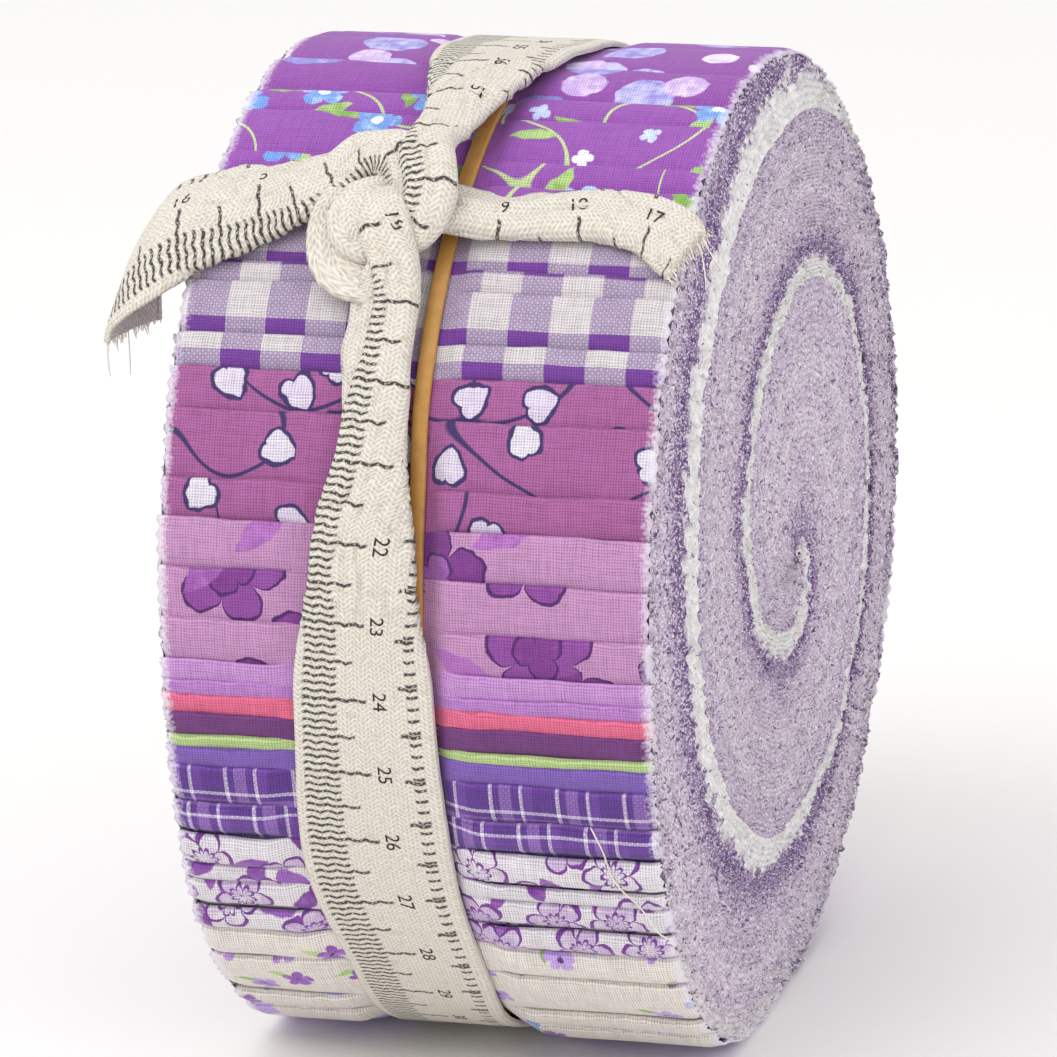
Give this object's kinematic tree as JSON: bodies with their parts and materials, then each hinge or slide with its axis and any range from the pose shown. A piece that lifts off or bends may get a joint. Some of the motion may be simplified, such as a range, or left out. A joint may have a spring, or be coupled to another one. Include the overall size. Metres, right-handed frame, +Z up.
{
  "type": "fabric strip roll",
  "caption": "Roll of pinked quilting-cotton strips wound face out and standing on its rim, tied round the middle with knotted twill tape over a rubber band.",
  "frame": {"origin": "on the surface the roll stands on, straight below the middle of its axis, on the flat underside of the tape", "axes": "+X along the roll's axis, from the end face with the shorter free end of tape to the other; +Z up; the knot is in front, towards -Y and +Z"},
  "size_m": [0.076, 0.1345, 0.1289],
  "materials": {
    "quilting_cotton": "printed plain-weave cotton, matt",
    "twill_tape": "natural cotton twill, matt",
    "band_rubber": "tan rubber, satin"
  },
  "bodies": {
    "root": {"fabric_roll": "quilting_cotton", "tape_tie": "twill_tape", "rubber_band": "band_rubber"}
  },
  "joints": []
}
